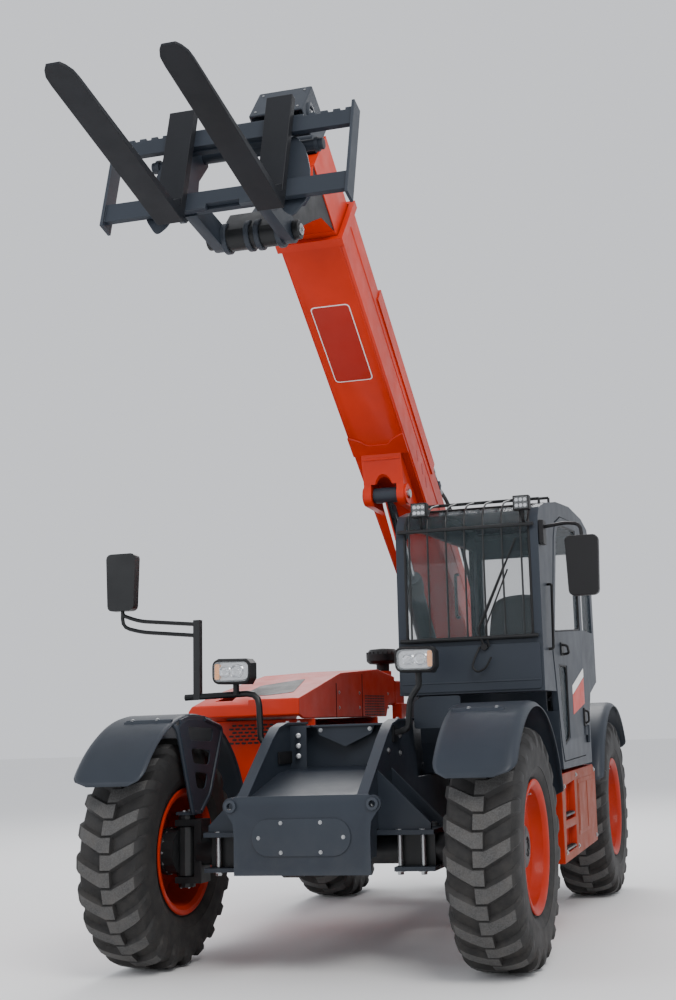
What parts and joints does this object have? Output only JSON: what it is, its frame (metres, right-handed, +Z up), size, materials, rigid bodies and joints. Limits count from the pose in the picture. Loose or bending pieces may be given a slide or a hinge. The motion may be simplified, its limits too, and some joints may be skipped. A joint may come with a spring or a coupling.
{
  "type": "telehandler",
  "caption": "Telescopic handler with a cab beside a raised boom, pallet forks on a tilting carriage, steered wheels, opening door and hood, and a lift cylinder.",
  "frame": {"origin": "on the ground under the middle of the bounding box", "axes": "+Z up, the machine faces -Y, and its cab is on the +X side"},
  "size_m": [2.9, 6.3456, 4.8676],
  "materials": {
    "orange_paint": "gloss paint",
    "slate_paint": "satin paint",
    "black_paint": "satin paint",
    "black_plastic": "matte",
    "tyre_rubber": "matte",
    "chrome": "polished",
    "tinted_glass": "clear tinted",
    "seat_fabric": "woven",
    "cast_iron": "as cast"
  },
  "bodies": {
    "machine": {"air_precleaner": "black_plastic", "cab_shell": "slate_paint", "chassis": "slate_paint", "counterweight": "slate_paint", "engine_bay": "orange_paint", "engine_block": "cast_iron", "front_axle": "black_paint", "front_axle_cradle": "slate_paint", "front_plate": "slate_paint", "front_trough": "slate_paint", "left_lamp": "black_plastic", "left_mirror": "black_plastic", "quarter_window": "tinted_glass", "rear_axle": "black_paint", "rear_axle_cradle": "slate_paint", "rear_cowl": "orange_paint", "rear_window": "tinted_glass", "right_lamp_and_mirror": "black_plastic", "right_window": "tinted_glass", "roof_hatch": "slate_paint", "seat": "seat_fabric", "side_tank": "orange_paint", "steering_column": "black_plastic", "windscreen": "tinted_glass"},
    "front_left_steered_hub": {"front_left_knuckle": "black_paint", "front_left_fender": "slate_paint"},
    "front_left_wheel": {"front_left_rim": "orange_paint", "front_left_tyre": "tyre_rubber"},
    "front_right_steered_hub": {"front_right_knuckle": "black_paint", "front_right_fender": "slate_paint"},
    "front_right_wheel": {"front_right_rim": "orange_paint", "front_right_tyre": "tyre_rubber"},
    "rear_left_steered_hub": {"rear_left_knuckle": "black_paint", "rear_left_fender": "slate_paint"},
    "rear_left_wheel": {"rear_left_rim": "orange_paint", "rear_left_tyre": "tyre_rubber"},
    "rear_right_steered_hub": {"rear_right_knuckle": "black_paint", "rear_right_fender": "slate_paint"},
    "rear_right_wheel": {"rear_right_rim": "orange_paint", "rear_right_tyre": "tyre_rubber"},
    "boom": {"outer_boom": "orange_paint"},
    "boom_extension": {"inner_boom": "orange_paint", "nose_cover": "slate_paint"},
    "carriage": {"quick_coupler": "slate_paint", "fork_carriage": "slate_paint", "left_fork": "black_paint", "right_fork": "black_paint"},
    "lift_cylinder": {"lift_barrel": "slate_paint"},
    "lift_cylinder_rod": {"lift_rod": "chrome"},
    "door": {"cab_door": "slate_paint"},
    "hood": {"engine_hood": "orange_paint"}
  },
  "joints": [
    {"name": "front_left_steer", "type": "hinge", "parent": "machine", "child": "front_left_steered_hub", "pos_m": [0.745, -0.73718, 0.62461], "axis": [0, 0, 1], "range_deg": [-33, 33]},
    {"name": "front_right_steer", "type": "hinge", "parent": "machine", "child": "front_right_steered_hub", "pos_m": [-0.915, -0.73718, 0.62461], "axis": [0, 0, 1], "range_deg": [-33, 33]},
    {"name": "rear_left_steer", "type": "hinge", "parent": "machine", "child": "rear_left_steered_hub", "pos_m": [0.745, 2.26282, 0.62461], "axis": [0, 0, 1], "range_deg": [-33, 33]},
    {"name": "rear_right_steer", "type": "hinge", "parent": "machine", "child": "rear_right_steered_hub", "pos_m": [-0.915, 2.26282, 0.62461], "axis": [0, 0, 1], "range_deg": [-33, 33]},
    {"name": "front_left_wheel_spin", "type": "hinge", "parent": "front_left_steered_hub", "child": "front_left_wheel", "pos_m": [0.915, -0.73718, 0.62461], "axis": [1, 0, 0], "continuous": true},
    {"name": "front_right_wheel_spin", "type": "hinge", "parent": "front_right_steered_hub", "child": "front_right_wheel", "pos_m": [-1.085, -0.73718, 0.62461], "axis": [1, 0, 0], "continuous": true},
    {"name": "rear_left_wheel_spin", "type": "hinge", "parent": "rear_left_steered_hub", "child": "rear_left_wheel", "pos_m": [0.915, 2.26282, 0.62461], "axis": [1, 0, 0], "continuous": true},
    {"name": "rear_right_wheel_spin", "type": "hinge", "parent": "rear_right_steered_hub", "child": "rear_right_wheel", "pos_m": [-1.085, 2.26282, 0.62461], "axis": [1, 0, 0], "continuous": true},
    {"name": "boom_lift", "type": "hinge", "parent": "machine", "child": "boom", "pos_m": [-0.085, 2.61282, 1.6], "axis": [-1, 0, 0], "range_deg": [-39.3, 23.7]},
    {"name": "boom_extend", "type": "slide", "parent": "boom", "child": "boom_extension", "axis": [0, -0.7848, 0.6198], "range_m": [0, 2.6]},
    {"name": "carriage_tilt", "type": "hinge", "parent": "boom_extension", "child": "carriage", "pos_m": [-0.085, -1.64305, 3.82191], "axis": [1, 0, 0], "range_deg": [-35, 92]},
    {"name": "lift_cylinder_swing", "type": "hinge", "parent": "machine", "child": "lift_cylinder", "pos_m": [-0.085, 2.36282, 0.92], "axis": [-1, 0, 0], "range_deg": [-36.2, 22]},
    {"name": "lift_rod_slide", "type": "slide", "parent": "lift_cylinder", "child": "lift_cylinder_rod", "axis": [0, -0.6927, 0.7212], "range_m": [-0.46, 0.28]},
    {"name": "door_swing", "type": "hinge", "parent": "machine", "child": "door", "pos_m": [1.101, 1.09282, 1.8], "axis": [0, 0, 1], "range_deg": [0, 100]},
    {"name": "hood_lift", "type": "hinge", "parent": "machine", "child": "hood", "pos_m": [-0.47, 0.86282, 1.6], "axis": [0, 1, 0], "range_deg": [0, 55]}
  ],
  "couplings": [
    {"joint": "front_right_steer", "follows": "front_left_steer", "ratio": 1},
    {"joint": "rear_right_steer", "follows": "rear_left_steer", "ratio": 1},
    {"joint": "lift_cylinder_swing", "follows": "boom_lift", "ratio": 0.91},
    {"joint": "lift_rod_slide", "follows": "boom_lift", "m_per_rad": 0.66}
  ]
}
